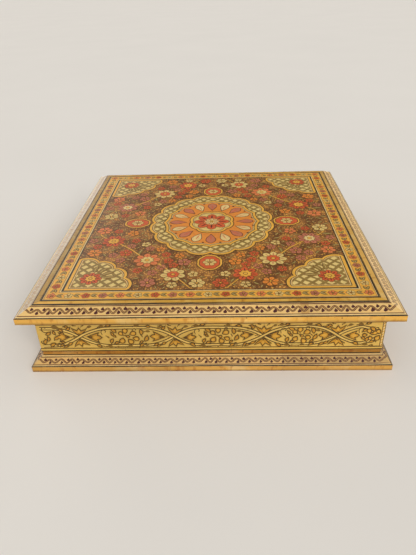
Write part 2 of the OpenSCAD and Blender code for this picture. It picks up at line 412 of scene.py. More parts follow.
class Shader:
    """The nodes of one material or world, with a short call for each kind used here."""

    def __init__(self, owner, coordinates="Object", scale=1 / MM):
        owner.use_nodes = True
        self.owner = owner
        self.tree = owner.node_tree
        where = self.tree.nodes.new("ShaderNodeTexCoord").outputs[coordinates]
        self.place = self.vector("MULTIPLY", where, (scale, scale, scale))

    def node(self, kind, settings, inputs):
        made = self.tree.nodes.new(kind)
        for key, value in settings.items():
            setattr(made, key, value)
        for key, value in inputs.items():
            if isinstance(value, bpy.types.NodeSocket):
                self.tree.links.new(value, made.inputs[key])
            else:
                made.inputs[key].default_value = value
        return made

    def vector(self, operation, a, b):
        return self.node("ShaderNodeVectorMath", {"operation": operation}, {0: a, 1: b}).outputs[0]

    def math(self, operation, a, b):
        return self.node("ShaderNodeMath", {"operation": operation}, {0: a, 1: b}).outputs[0]

    def product(self, first, *others):
        for other in others:
            first = self.math("MULTIPLY", first, other)
        return first

    def parts(self):
        """The place along X, Y and Z, in mm."""
        return self.node("ShaderNodeSeparateXYZ", {}, {"Vector": self.place}).outputs

    def noise(self, grain, detail=3.0, rough=0.55):
        """Noise from 0 to 1. Grain is how long its features are in mm, in all or in X, Y and Z."""
        sizes = grain if isinstance(grain, tuple) else (grain, grain, grain)
        inputs = {"Scale": 1.0, "Detail": detail, "Roughness": rough}
        inputs["Vector"] = self.vector("DIVIDE", self.place, sizes)
        return self.node("ShaderNodeTexNoise", {}, inputs).outputs[0]

    def cells(self, size):
        """Distance from the middle of the nearest of many cells of that size in mm."""
        where = self.vector("DIVIDE", self.place, (size, size, size))
        return self.node("ShaderNodeTexVoronoi", {}, {"Vector": where, "Scale": 1.0}).outputs["Distance"]

    def between(self, value, low, high, start=0.0, end=1.0):
        """A value carried from the range low to high onto start to end, and held there."""
        inputs = {"Value": value, "From Min": low, "From Max": high, "To Min": start, "To Max": end}
        return self.node("ShaderNodeMapRange", {}, inputs).outputs[0]

    def spread(self, noise, start, end):
        """Noise carried onto a range. Nearly all of it lies between 0.3 and 0.7."""
        return self.between(noise, 0.3, 0.7, start, end)

    def mix(self, share, a, b):
        return self.node("ShaderNodeMix", {"data_type": "RGBA"}, {0: share, 6: a, 7: b}).outputs[2]

    def island(self):
        return self.node("ShaderNodeNewGeometry", {}, {}).outputs["Random Per Island"]

    def shade(self, colour, value):
        """A colour made darker or lighter by a value round 1."""
        return self.node("ShaderNodeHueSaturation", {}, {"Value": value, "Color": colour}).outputs[0]

    def finish(self, colour, roughness, height=None, depth=0.1, **sockets):
        """Sets the surface. Height is from 0 to 1, and depth is the relief that it stands for, in mm."""
        surface = self.tree.nodes["Principled BSDF"]
        self.tree.links.new(colour, surface.inputs["Base Color"])
        self.tree.links.new(roughness, surface.inputs["Roughness"])
        if height is not None:
            inputs = {"Strength": 1.0, "Distance": depth * MM, "Height": height}
            bump = self.node("ShaderNodeBump", {}, inputs).outputs[0]
            self.tree.links.new(bump, surface.inputs["Normal"])
        for key, value in sockets.items():
            surface.inputs[key.replace("_", " ")].default_value = value
        return self.owner

    def varnish(self, colour, uneven, height, depth, low=0.36, high=0.52):
        """Finishes a varnished surface. Its roughness goes from low to high with the noise given."""
        roughness = self.spread(uneven, low, high)
        return self.finish(colour, roughness, height, depth, Specular_IOR_Level=GLOSS)


def new_shader(name):
    return Shader(bpy.data.materials.new(name))


# Where the tone changes along the box's width, by material: from, to, and the tones before and after
# Only the plinth's step is a darker plaque; the rest is painted light, darker on the left and brighter on the
# right
TONE_AND_LIGHT_STEPS = {
    "lid_rim_x": ((-64, -54, 0.84, 1),),
    "plinth_plaques_x": ((39.5, 39.7, 1, 0.82),),
    "base_rim_x": ((-45, -30, 0.93, 1), (25, 45, 1, 1.08)),
    "wall_plaques_x": ((0, 50, 1, 1.22),),
    "ink_wash": ((0, 50, 1, 1.24),),
    "ink_wall_light": ((0, 50, 1, 1.06),),
    "ink_motif_gold": ((0, 50, 1, 1.2),),
    "ink_motif_light": ((0, 50, 1, 1.18),),
}


# Multiplies in the steps along X, most of which are painted light
def tone_along(shader, name, tone):
    x = shader.parts()["X"]
    for change in TONE_AND_LIGHT_STEPS.get(name, ()):
        tone = shader.product(tone, shader.between(x, *change))
    return tone


def tinted(colour, *steps):
    """A colour with a step added to its red, green and blue, each kept from 0 to 255."""
    return tuple(min(255, max(0, part + step)) for part, step in zip(colour, steps))


def along_grain(along, length, width):
    """Sizes of a streak that runs along X or Y."""
    return (length, width, width) if along == "x" else (width, length, width)


def bone_material(name, colour, along):
    """Old varnished bone: clouded, mottled and streaked along its grain, with pores and a soft gloss."""
    shader = new_shader(name)
    mottle = shader.noise(3.5, 5, 0.65)
    streak = shader.noise(along_grain(along, 18, 0.7), 4)
    pore = shader.noise(along_grain(along, 2.4, 0.35), 2)
    tone = shader.product(
        shader.spread(shader.noise(30, 4), 0.9, 1.06),
        shader.spread(mottle, 0.93, 1.05),
        shader.spread(streak, 0.95, 1.03),
        shader.between(shader.island(), 0, 1, 0.93, 1.05),
    )
    tone = tone_along(shader, name, tone)
    warm = tinted(colour, -18, -34, -44)
    dark = tuple(part * 0.5 for part in colour)
    ground = shader.mix(shader.between(mottle, 0.52, 0.78, 0, 0.55), linear(colour), linear(warm))
    ground = shader.mix(shader.between(pore, 0.70, 0.76, 0, 0.5), ground, linear(dark))
    return shader.varnish(shader.shade(ground, tone), mottle, streak, 0.05, 0.34, 0.5)


def rim_material(name, colour, along, low):
    """Bone of the plain strips: streaked, with pale patches, stains, pits, and a low edge darkened by dirt
    and painted shade.
    """
    shader = new_shader(name)
    streak = shader.noise((26, 1.0, 1.0) if along == "x" else (1.0, 26, 1.0), 4)
    band = shader.noise((3.2, 7, 7) if along == "x" else (7, 3.2, 7), 3)
    clouds = shader.noise(14, 4, 0.6)
    pale = tinted(colour, 10, 26, 46)
    stain = tinted(colour, -34, -44, -30)
    ground = shader.mix(shader.between(clouds, 0.5, 0.66, 0, 0.8), linear(colour), linear(pale))
    ground = shader.mix(shader.between(band, 0.54, 0.68, 0, 0.75), ground, linear(stain))
    ground = shader.mix(shader.between(shader.cells(5.5), 0.05, 0.1, 0.8, 0), ground, linear((120, 74, 30)))
    tone = shader.product(
        shader.spread(streak, 0.9, 1.05),
        shader.between(shader.noise(60, 2), 0.35, 0.65, 0.86, 1.06),
        shader.between(shader.island(), 0, 1, 0.9, 1.05),
    )
    tone = tone_along(shader, name, tone)
    # Darker towards the low edge: partly dirt, partly painted shade
    grime_and_shade = shader.between(shader.parts()["Z"], low + 0.2, low + 1.6, 0.5, 1)
    clean = shader.between(shader.noise((8, 8, 0.8), 4), 0.55, 0.75)
    tone = shader.product(tone, shader.math("MAXIMUM", grime_and_shade, clean))
    return shader.varnish(shader.shade(ground, tone), clouds, streak, 0.06)


def plain_ink(name):
    """Body colour under varnish, thinner in some places than in others and worn through in small spots."""
    shader = new_shader(f"ink_{name}")
    mottle = shader.noise(2.2, 4, 0.6)
    tone = shader.product(shader.spread(mottle, 0.88, 1.1), shader.spread(shader.noise(22), 0.92, 1.06))
    tone = tone_along(shader, f"ink_{name}", tone)
    worn = shader.between(shader.noise(1.8, 6, 0.7), 0.64, 0.72, 0, 0.65)
    colour = shader.shade(shader.mix(worn, linear(INKS[name]), linear(BONE["wall"])), tone)
    return shader.varnish(colour, mottle, mottle, 0.02)


# Length of a diamond's side in the lattice
LATTICE = 4.7


def lattice_ink():
    """Cream diamonds on olive, each with a little hand-drawn difference."""
    shader = new_shader("ink_lattice")
    parts = shader.parts()
    stray = shader.between(shader.noise(7, 2), 0, 1, -0.25, 0.25)
    steps = []
    for operation in ("ADD", "SUBTRACT"):
        slant = shader.math("DIVIDE", shader.math(operation, parts["X"], parts["Y"]), LATTICE * math.sqrt(2))
        steps.append(shader.math("PINGPONG", shader.math("ADD", slant, stray), 0.5))
    across = shader.math("MAXIMUM", *steps)
    corner = shader.math("MINIMUM", *[shader.math("SUBTRACT", 0.5, step) for step in steps])
    mottle = shader.noise(2.5, 4, 0.6)
    colour = shader.mix(shader.between(across, 0.30, 0.34), linear((232, 202, 124)), linear((112, 84, 36)))
    colour = shader.mix(shader.between(across, 0.35, 0.39), colour, linear((160, 128, 60)))
    colour = shader.mix(shader.between(corner, 0.02, 0.05, 0.5, 0), colour, linear((104, 76, 34)))
    return shader.varnish(shader.shade(colour, shader.spread(mottle, 0.86, 1.1)), mottle, mottle, 0.02)


INK_MATERIALS = {}


def ink_material(name):
    if name not in INK_MATERIALS:
        INK_MATERIALS[name] = lattice_ink() if name == "lattice" else plain_ink(name)
    return INK_MATERIALS[name]


def stippled_material():
    """The panel's brown field: soft dark tufts, stippled with ochre dots."""
    shader = new_shader("stippled_field")
    dots = shader.cells(1.25)
    tufts = shader.cells(8.5)
    mottle = shader.noise(3, 4)
    dark = shader.mix(shader.between(tufts, 0.15, 0.62), linear(INKS["brown"]), linear(INKS["brown_dark"]))
    lit = shader.mix(mottle, linear((220, 148, 68)), linear((236, 180, 88)))
    share = shader.between(dots, 0.30, 0.40, 0.9, 0)
    share = shader.product(share, shader.between(tufts, 0.35, 0.75, 1, 0.45))
    colour = shader.shade(shader.mix(share, dark, lit), shader.spread(mottle, 0.88, 1.1))
    return shader.varnish(colour, mottle, dots, 0.03, 0.36, 0.5)


def wood_material(name, along):
    """Close-grained wood, oiled and darkened with age."""
    shader = new_shader(name)
    streak = shader.noise(along_grain(along, 60, 1.1), 6, 0.6)
    fine = shader.noise(along_grain(along, 20, 1.1 / 3), 4)
    colour = shader.mix(shader.spread(streak, 0, 1), linear((112, 74, 42)), linear((164, 116, 70)))
    colour = shader.shade(colour, shader.spread(shader.noise(40), 0.85, 1.1))
    return shader.finish(colour, shader.spread(fine, 0.5, 0.7), fine, 0.05, Specular_IOR_Level=0.3)


def brass_material():
    """Worn brass, browned in the hollows."""
    shader = new_shader("aged_brass")
    patina = shader.noise(3, 5, 0.65)
    scratch = shader.noise((0.25, 4, 4), 3)
    colour = shader.mix(shader.between(patina, 0.4, 0.66), linear((206, 166, 92)), linear((128, 92, 48)))
    return shader.finish(colour, shader.spread(patina, 0.26, 0.5), scratch, 0.01, Metallic=1.0)


def velvet_material():
    """Worn crimson velvet with its pile worn thin in patches."""
    shader = new_shader("crimson_velvet")
    rub = shader.noise(22, 4)
    pile = shader.noise(0.3, 2)
    colour = shader.mix(shader.between(rub, 0.35, 0.65), linear((98, 20, 26)), linear((116, 27, 32)))
    colour = shader.shade(colour, shader.spread(pile, 0.8, 1.15))
    sheen = {"Sheen_Weight": 0.6, "Sheen_Roughness": 0.5, "Sheen_Tint": linear((220, 90, 84))}
    return shader.finish(colour, shader.spread(pile, 0.8, 1.0), pile, 0.06, Specular_IOR_Level=0.05, **sheen)


# Finish of the pieces that are carried over


def dress(node, material, edge=0.12):
    """Gives a node its finish and takes the sharpness off its edges."""
    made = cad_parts[node]
    for slot in made.material_slots:
        slot.material = material
    weld = made.modifiers.new("weld", "WELD")
    weld.merge_threshold = 0.001 * MM
    bevel = made.modifiers.new("soft_edges", "BEVEL")
    bevel.width = edge * MM
    bevel.segments = 2
    bevel.limit_method = "ANGLE"
    made.modifiers.new("even_normals", "WEIGHTED_NORMAL")


# The colour of each run of bone, and the colours of the plain strips
RUNS = {
    "lid_bevel": "lid_slope",
    "plinth_plaques": "plinth_slope",
    "wall_plaques": "wall",
    "lid_border": "gold_border",
    "lid_rim": "gold",
    "base_rim": "gold_low",
    "fillet": "amber",
}
PLAIN = ("gold_border", "gold", "gold_low", "amber")


def run_material(run, name, colour, along):
    if RUNS[run] in PLAIN:
        return rim_material(name, colour, along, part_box(f"front_{run}")[0].z / MM)
    return bone_material(name, colour, along)


def dress_runs():
    """The four sides of each run, with the grain along the run."""
    grain = {side: "x" if turn % 180 == 0 else "y" for side, turn in SIDES.items()}
    wood = {along: wood_material(f"wood_{along}", along) for along in "xy"}
    for run, tone in RUNS.items():
        finishes = {along: run_material(run, f"{run}_{along}", BONE[tone], along) for along in "xy"}
        for side, along in grain.items():
            node = f"{side}_{run}"
            # A side listed there gets its own copy of the finish, coloured with painted light
            own = BONE_LIT_AND_SHADED_BY_SIDE.get(node)
            dress(node, run_material(run, f"{node}_bone", own, along) if own else finishes[along])
    for side, along in grain.items():
        for part in ("wall", "plinth"):
            dress(f"{side}_{part}", wood[along])
    for board in ("bottom_board", "lid_board"):
        dress(board, wood["x"])
    dress("lid_panel_plaques", stippled_material(), 0.05)


def dress_metal():
    brass = brass_material()
    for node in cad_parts:
        if "hinge" in node:
            dress(node, brass, 0.08)


# Painted lines and bands of the slopes and strips


# Lines of each face: up from its low edge, or down from its top where that is under 0, width, ink and coat
LID_SLOPE_LINES = (
    (-0.36, 0.6, "black", 2),
    (-1.2, 0.5, "line_brown", 2),
    (1.75, 0.5, "line_brown", 2),
    (1.1, 0.7, "pale", 1),
    (0.36, 0.66, "black", 2),
)
LID_STRIP_LINES = ((0.16, 0.3, "black", 2), (-0.2, 0.34, "black", 2))
PLINTH_LINES = (
    (0.32, 0.58, "black", 2),
    (0.8, 0.4, "pale", 1),
    (1.2, 0.48, "line_brown", 2),
    (-1.05, 0.48, "line_brown", 2),
    (-0.55, 0.4, "pale", 1),
)
# The black lines at the fillet's top and foot are painted shadow in the joints above and below it
FILLET_LINES = ((-0.25, 0.5, "black", 1), (-1.15, 0.25, "brown_dark", 1, 0.4), (0.28, 0.5, "black", 1))
FRIEZE_LINES = (
    # The first line, at the wall's foot, is painted shadow in its joint with the fillet
    (0.24, 0.48, "olive_dark", 2),
    (1.95, 0.55, "olive_dark", 2),
    (-5.3, 0.36, "olive_dark", 2),
    (-3.9, 0.36, "olive_dark", 2),
    (-4.6, 0.8, "pale", 1),
)
# The one darker patch of the front's slope: where along it its low and high corners lie
PATCH = ((47.4, 51.6), (47.3, 51.5))

# Vine: its edges on the lid and on the plinth, length of a wave, points in one, and the gap at each end
LID_VINE = (1.75, -1.2)
PLINTH_VINE = (1.1, -1.05)
VINE_PERIOD = 6.05
VINE_STEPS = 12
VINE_END = 0.9
# Where a drop's pointed and round ends lie, as shares of the vine's height from its middle
DROPS = {0.5: (0.38, 0.03), 1.0: (0.05, -0.36)}


def vine(paint, edges, key):
    """A waving stem drawn with two lines, and a maroon drop in each trough and under each crest."""
    draw = random.Random(key)
    low, high = edges[0], paint.face.height + edges[1]
    middle, height = (low + high) / 2, high - low
    half = paint.face.half(middle) - VINE_END
    waves = round(2 * half / VINE_PERIOD)
    period = 2 * half / waves
    line = []
    for step in range(waves * VINE_STEPS + 1):
        s = step * period / VINE_STEPS - half
        wave = math.cos(math.tau * step / VINE_STEPS) * (1 + hand(s, key, 0.5, 5))
        line.append(complex(s + hand(s, key + 1, 0.9, 9), middle + 0.2 * height * wave))
    paint.stroke(line, 0.5, "cream", 1)
    beside, width = 0.12 + 0.03 * height, 0.24 + 0.035 * height
    for side in (-beside, beside):
        paint.stroke(shifted(line, side), width, "stem_brown", 2)
    for wave in range(waves):
        for share, (top, bottom) in DROPS.items():
            if wave == waves - 1 and share == 1.0:
                continue
            s = (wave + share) * period - half
            s += hand(s, key + 1, 0.9, 9) + draw.uniform(-0.2, 0.2)
            width = 0.65 + height * draw.uniform(0.18, 0.24)
            root = complex(s + draw.uniform(-0.3, 0.7), middle + (top + draw.uniform(-0.03, 0.03)) * height)
            head = complex(s, middle + bottom * height)
            paint.patch(leaf(root, head, width, draw.uniform(0.05, 0.35) * width, 1.7, 0.75), "maroon", 3)


def paint_lid_slope(side):
    paint = Paint(lid_slope(side))
    # Paler inks on the side slopes: partly wear, partly painted sheen and light
    if side in ("left", "right"):
        paint.worn_and_lit_inks = INKS_WORN_AND_LIT
    if side == "front":
        low, high = PATCH
        paint.patch([*low, *[complex(s, paint.face.height) for s in reversed(high)]], "patch", 0)
    paint.rules(LID_SLOPE_LINES)
    vine(paint, LID_VINE, SIDES[side] + 3)
    paint.piece(f"{side}_lid_slope_paint", "lid")


def paint_lid_strip(side):
    paint = Paint(lid_strip(side))
    paint.rules(LID_STRIP_LINES)
    paint.piece(f"{side}_lid_strip_paint", "lid")


def paint_plinth_slope(side):
    paint = Paint(plinth_slope(side))
    paint.rules(PLINTH_LINES)
    vine(paint, PLINTH_VINE, SIDES[side] + 5)
    paint.piece(f"{side}_plinth_paint", "base")


def paint_fillet(side):
    """Black lines painted as the shadow in the joints over and under the plain strip at the wall's foot, and
    a brown line along it.
    """
    paint = Paint(upright_face(side, "fillet"))
    paint.rules(FILLET_LINES)
    paint.piece(f"{side}_fillet_paint", "base")


# Painted frieze of the walls


# Where the ribbons cross, from the left end of each wall
CROSSINGS = {
    "front": (22.9, 74.4, 122.0, 161.3),
    "right": (26.0, 75.0, 122.0, 171.0),
    "back": (21.0, 68.0, 115.0, 162.0),
    "left": (24.0, 76.0, 125.0, 173.0),
}
# Height of the crossings above the foot of the wall's bone, how far the ribbons swing up and down, how far
# from a crossing they run level, the distance between their points, and the widths of a ribbon and of the pen
RIBBON_MIDDLE = 9.7
RIBBON_SWING = 5.9
RIBBON_RUN = 16.0
RIBBON_STEP = 1.6
RIBBON_WIDTH = 1.5
PEN = 0.48

# Half outlines, as (along, across), for a figure one unit long
ARROW = ((1.0, 0.0), (0.72, 0.15), (0.42, 0.32), (0.1, 0.46), (0.2, 0.2), (0.0, 0.16), (-0.16, 0.0))
TULIP = ((0.0, 0.0), (0.28, 0.36), (0.6, 0.64), (0.98, 0.86), (0.76, 0.5), (0.64, 0.24), (1.04, 0.0))
# The dark notch of a shape one unit long, and its light heart: where that starts and ends along it, its
# width, how plump and blunt it is, and its coat
NOTCHES = {
    "arrow": [0.94 - 0.42 * point for point in (0, 1 - 0.36j, 0.72, 1 + 0.36j)],
    "tulip": [0.3 * point for point in (0.2, 1 - 0.5j, 0.8, 1 + 0.5j)],
}
HEARTS = {
    "arrow": (0.08, 0.52, 0.34, 1.0, 0.7, 9),
    "tulip": (0.34, 0.82, 0.3, 0.9, 0.7, 9),
    "petal": (0.3, 0.86, 0.44, 1.2, 0.6, 8),
}
SMALLEST_HEART = 2.4

# What is painted between two crossings that far apart: kind, place along, place up, aim in degrees, length
OGIVE_LENGTH = 47.5
# An ogive shorter than this share of it is cut off rather than drawn together
CUT_OFF = 0.75
OGIVE = (
    ("arrow", 10.4, -0.3, 180, 6.3),
    ("curl", 11.4, 1.6, 62, 3.4),
    ("leaf", 16.2, 3.0, -72, 2.4),
    ("leaf", 16.6, 5.2, -38, 3.4),
    ("dark", 14.0, 0.2, -60, 1.6),
    ("leaf", 16.8, 1.0, -30, 2.0),
    ("leaf", 15.4, -4.2, 70, 3.0),
    ("leaf", 17.2, -4.6, 18, 2.8),
    ("petal", 22.0, 1.2, 138, 3.0),
    ("petal", 23.3, 2.2, 86, 3.4),
    ("petal", 25.6, 1.4, 28, 3.6),
    ("petal", 26.6, -0.8, -22, 3.3),
    ("petal", 24.6, -1.8, -62, 3.6),
    ("petal", 22.0, -0.6, -112, 3.5),
    ("dark", 22.4, 0.9, -28, 2.0),
    ("petal", 23.6, 0.1, -10, 1.9),
    ("curl", 27.2, 3.6, 52, 2.2),
    ("leaf", 31.2, 4.9, -80, 3.5),
    ("dark", 33.6, 3.5, -6, 2.6),
    ("leaf", 34.2, 0.5, -122, 3.6),
    ("dark", 31.0, 0.8, -60, 1.3),
    ("leaf", 29.8, -4.4, 34, 2.2),
    ("arrow", 36.6, 0.2, 0, 6.3),
    ("dark", 43.8, 0.2, 10, 1.7),
    ("dark", 10.2, 6.9, 4, 3.0),
    ("leaf", 14.2, 7.4, 8, 2.4),
    ("dark", 27.6, 7.1, 6, 3.0),
    ("leaf", 33.6, 6.9, -12, 2.5),
    ("dark", 38.6, 5.9, -34, 2.4),
    ("leaf", 40.6, 7.0, -20, 2.3),
    ("leaf", 8.4, -5.0, -36, 3.2),
    ("dark", 13.4, -6.3, -8, 3.4),
    ("dark", 18.0, -6.8, 0, 1.8),
    ("dark", 24.0, -6.6, 12, 2.6),
    ("leaf", 29.8, -6.6, 32, 2.8),
    ("leaf", 37.0, -6.2, 36, 2.6),
    ("curl", 34.4, -5.6, 150, 2.0),
)
# What is painted round a crossing, from its middle
CROSSING = (
    ("tulip", 0.0, 1.2, 90, 5.0),
    ("tulip", 0.0, -1.6, -90, 5.0),
    ("leaf", -6.6, -5.6, 36, 2.8),
    ("leaf", -9.2, -6.6, 24, 2.4),
    ("dark", 3.6, -4.6, -50, 1.5),
    ("leaf", -4.4, 6.4, -150, 2.6),
    ("dark", 5.0, 6.2, 20, 2.6),
    ("dark", -2.0, 7.4, 150, 1.4),
    ("dark", 2.2, 7.4, 30, 1.4),
)
# What is painted at the left end of a wall, from the end, and how far nothing else is
LEFT_END_LENGTH = 10
LEFT_END = (
    ("curl", 6.6, 3.6, 140, 4.6),
    ("leaf", 6.6, 3.4, -150, 3.4),
    ("leaf", 9.4, 2.0, 100, 2.6),
    ("leaf", 5.0, 0.4, -100, 2.8),
    ("leaf", 8.4, -1.8, 40, 3.2),
    ("curl", 2.6, -0.4, 240, 3.8),
    ("leaf", 2.0, -4.4, 60, 3.2),
    ("leaf", 5.4, -6.4, 48, 3.4),
    ("dark", 8.2, -4.4, -50, 2.6),
    ("dark", 7.4, 6.6, 0, 4.6),
    ("leaf", 11.6, 5.2, -30, 2.6),
    ("leaf", 12.6, 3.2, -60, 2.2),
    ("curl", 9.6, -6.4, 60, 2.2),
    ("leaf", 11.8, -3.2, -20, 2.2),
)
# What is added after the last crossing, where the frieze is cut short by the wall's end
RIGHT_END = (
    ("leaf", 13.2, 2.2, 30, 2.6),
    ("leaf", 13.0, -1.6, -35, 2.4),
    ("petal", 17.0, 1.0, 105, 2.8),
    ("petal", 18.2, 0.6, 20, 2.8),
    ("petal", 17.2, -0.6, -75, 2.8),
    ("petal", 15.8, 0.0, 185, 2.4),
    ("dark", 20.0, -3.4, -60, 1.8),
    ("curl", 19.4, 3.4, 20, 2.0),
)


def frieze_shape(kind, base, aim, length):
    """Outline of one shape of the frieze, drawn from its base."""
    tip = base + cmath.rect(length, aim)
    if kind == "arrow":
        return figure(ARROW, base, aim, length)
    if kind == "tulip":
        return figure(TULIP, base, aim, length)
    if kind == "petal":
        return leaf(base, tip, length * 0.84, 0, 1.4, 0.6)
    return leaf(base, tip, length * 0.56, length * 0.08, 0.9, 0.8)


def curl(base, aim, length):
    """A line that leaves its base and rolls up at its end."""
    turn = cmath.rect(length, aim)
    return [base + turn * (0.75 - cmath.rect(0.75 / (1 + 0.35 * step), -0.75 * step)) for step in range(8)]


def draw_shape(paint, kind, base, aim, length):
    """One shape of the frieze, with the stem, outline, notch and heart that its kind has."""
    if kind == "curl":
        paint.stroke(curl(base, aim, length), PEN, "olive_dark", 5, 0.3)
        return
    outline = frieze_shape(kind, base, aim, length)
    stem = cmath.rect(0.9, aim + 0.4)
    if kind in ("leaf", "dark"):
        paint.stroke([base - stem, base, base + cmath.rect(0.3, aim)], 0.36, "olive_dark", 5)
    if kind == "dark":
        paint.patch(outline, "smudge", 6)
        return
    paint.patch(grown(outline, 0.75), "wash", 0)
    paint.motif(outline, "motif_gold", 6, "olive_dark", PEN)
    axis = cmath.rect(length, aim)
    if kind in NOTCHES:
        paint.patch([base + axis * point for point in NOTCHES[kind]], "olive_dark", 8)
    if kind in HEARTS and length > SMALLEST_HEART:
        start, end, width, plump, blunt, coat = HEARTS[kind]
        heart = leaf(base + axis * start, base + axis * end, length * width, 0, plump, blunt)
        paint.patch(heart, "motif_light", coat)


def frieze_end(paint):
    """The upright strip at the frieze's right end, with its gold dashes."""
    top, end = paint.face.height, paint.face.half(0)
    for inset, width, ink in ((0.4, 0.3, "olive_dark"), (1.0, 0.9, "pale"), (1.7, 0.3, "olive_dark")):
        s = end - inset
        paint.stroke([complex(s, 2.1), complex(s + 0.1, top / 2), complex(s, top - 5.3)], width, ink, 2)
    for dash in range(9):
        up = 2.8 + (top - 8.8) * dash / 8
        paint.stroke([complex(end - 1.5, up - 0.5), complex(end - 0.6, up + 0.4)], 0.55, "motif_gold", 3)


def ribbon(paint, stops, first, ends):
    """One of the two ribbons that cross at the stops: straight through a crossing, then level."""
    line = []
    sign = first
    for start, end in zip(stops, stops[1:]):
        count = round((end - start) / RIBBON_STEP)
        for step in range(count):
            s = start + (end - start) * step / count
            fall = max(0, 1 - min(s - start, end - s) / RIBBON_RUN)
            up = RIBBON_MIDDLE + sign * RIBBON_SWING * (1 - fall**2)
            if ends[0] < s < ends[1]:
                line.append(complex(s, up + hand(s, first + 3, 0.5, 12)))
        sign = -sign
    coat = 2 if first > 0 else 4
    for side in (-1, 1):
        paint.stroke(shifted(line, side * RIBBON_WIDTH / 2), 1.1 * PEN, "olive_dark", coat + 1)
    paint.strip(shifted(line, -RIBBON_WIDTH / 2), shifted(line, RIBBON_WIDTH / 2), "wall_light", coat)


def placed(shapes, start, stretch=1.0):
    """Shapes set from a place along the wall, and spread out or drawn together along it."""
    return [(kind, start + along * stretch, *rest) for kind, along, *rest in shapes]


def paint_frieze(side):
    """Two ribbons that cross again and again, with palmettes, flowers and leaves between them."""
    paint = Paint(upright_face(side, "wall_plaques"))
    draw = random.Random(SIDES[side] + 17)
    half = paint.face.half(0)
    left, right = 0.6 - half, half - 2.0
    stops = [stop - half for stop in CROSSINGS[side]]
    stops = [2 * stops[0] - stops[1], *stops, half - 1.0]
    paint.rules(FRIEZE_LINES)
    frieze_end(paint)
    for first in (1, -1):
        ribbon(paint, stops, first, (left, right))
    shapes = placed(LEFT_END, left)
    for start, end in zip(stops, stops[1:]):
        stretch = (end - start) / OGIVE_LENGTH
        shapes += placed(OGIVE, start, stretch if stretch > CUT_OFF else 1)
    for stop in stops[:-1]:
        shapes += placed(CROSSING, stop)
    shapes += placed(RIGHT_END, stops[-2])
    for number, (kind, along, up, aim, length) in enumerate(shapes):
        base = complex(along + draw.uniform(-0.3, 0.3), RIBBON_MIDDLE + up + draw.uniform(-0.2, 0.2))
        turn = math.radians(aim + draw.uniform(-9, 9))
        length *= draw.uniform(0.92, 1.08)
        in_its_place = number < len(LEFT_END) or along > left + LEFT_END_LENGTH
        outline = frieze_shape(kind, base, turn, length)
        if in_its_place and all(left < point.real < right for point in outline):
            draw_shape(paint, kind, base, turn, length)
    paint.piece(f"{side}_frieze_paint", "base")


# Painted panel of the lid


# From the panel's edge to its field, half widths and heights of what is on the field, points in one of its
# lobes, and the rims round its shapes from the outside in
FIELD_IN = 9.2
QUARTER = 38.0
MEDALLION = complex(43, 48)
PENDANT = complex(8, 9.5)
LOBE_STEPS = 8
RIMS = ((0.5, "black"), (1.7, "ochre"), (0.45, "black"), (0.55, "pale"), (0.35, "brown"))

# Colours of a flower: petals, their streaks, and the inner ring
FLOWERS = (
    ("salmon", "red", "cream"),
    ("cream", "mauve", "red"),
    ("red", "maroon", "ochre"),
    ("mauve", "purple", "pale"),
    ("orange", "red", "pale"),
)

# Flowers of one quarter of the field: place, radius and petals
FLOWER_PLACES = (
    (37.5 + 52.5j, 8.4, 8),
    (20.5 + 69.5j, 7.4, 7),
    (62.5 + 27.0j, 7.8, 8),
    (34.0 + 78.0j, 4.6, 6),
    (71.5 + 42.5j, 4.6, 6),
    (71.5 + 11.5j, 5.2, 6),
    (6.5 + 79.0j, 4.8, 6),
    (52.0 + 43.0j, 4.2, 5),
    (15.0 + 55.5j, 4.0, 5),
    (51.5 + 16.0j, 4.0, 5),
)
# What is scattered in the room that is left: kind, radius and tries
SCATTERED = (("flower", 3.1, 900), ("leaf", 2.2, 1600), ("leaf", 1.6, 1600), ("dot", 0.75, 1600))
# The stem that runs through the flowers
STEM = (10 + 84j, 15 + 77j, 20.5 + 69.5j, 28 + 59j, 37.5 + 52.5j, 50 + 38j, 62.5 + 27j, 71 + 20j, 76 + 11j)


def lobes(size, count, depth, turn=math.tau):
    """A cusped outline round 0, or a part turn of one, within that half width and half height."""
    total = round(count * LOBE_STEPS * turn / math.tau)
    points = []
    for step in range(total if turn == math.tau else total + 1):
        angle = turn * step / total
        scale = 1 - depth * (1 - abs(math.sin(count * angle / 2)) ** 0.7)
        points.append(complex(size.real * math.cos(angle), size.imag * math.sin(angle)) * scale)
    return points


def corner_outline(corner, inset):
    """Outline of the lattice in a corner of the field, with a width taken off it all round."""
    arc = lobes((QUARTER - inset) * (1 + 1j), 16, 0.07, math.pi / 2)
    return [corner - complex(max(point.real, inset), max(point.imag, inset)) for point in [0, *arc]]


def blossom(paint, centre, radius, petals, colours, coat, turn=0.0):
    """An open flower: a ring of outlined petals, a smaller ring inside it, and an eye."""
    outer, streak, inner = colours
    for petal in range(petals):
        aim = cmath.rect(1, turn + math.tau * petal / petals)
        width = math.tau * 0.66 * radius / petals
        shape = leaf(centre + aim * radius * 0.16, centre + aim * radius, width, 0, 1.6, 0.6)
        paint.motif(shape, outer, coat, "brown_dark", 0.07 * radius**0.5 + 0.12)
        line = [centre + aim * radius * share for share in (0.42, 0.62, 0.84)]
        paint.stroke(line, radius * 0.09, streak, coat + 2, 0.8)
        if radius > 6:
            aim *= cmath.rect(1, math.pi / petals)
            shape = leaf(centre, centre + aim * radius * 0.52, width * 0.62, 0, 1.4, 0.7)
            paint.motif(shape, inner, coat + 2, "brown_dark", 0.3)
    paint.motif(disc(centre, radius * 0.17, 8), "ochre", coat + 4, "brown_dark", 0.35)


def foliage(paint, root, aim, length, coat, ink="leaf_green"):
    """A leaf with its middle rib."""
    tip = root + cmath.rect(length, aim)
    paint.motif(leaf(root, tip, length * 0.42, length * 0.07, 0.9, 0.9), ink, coat, "brown_dark", 0.3)
    paint.stroke([root, (root + tip) / 2 + (tip - root) * 0.07j, tip], 0.24, "pale", coat + 2, 0.8)


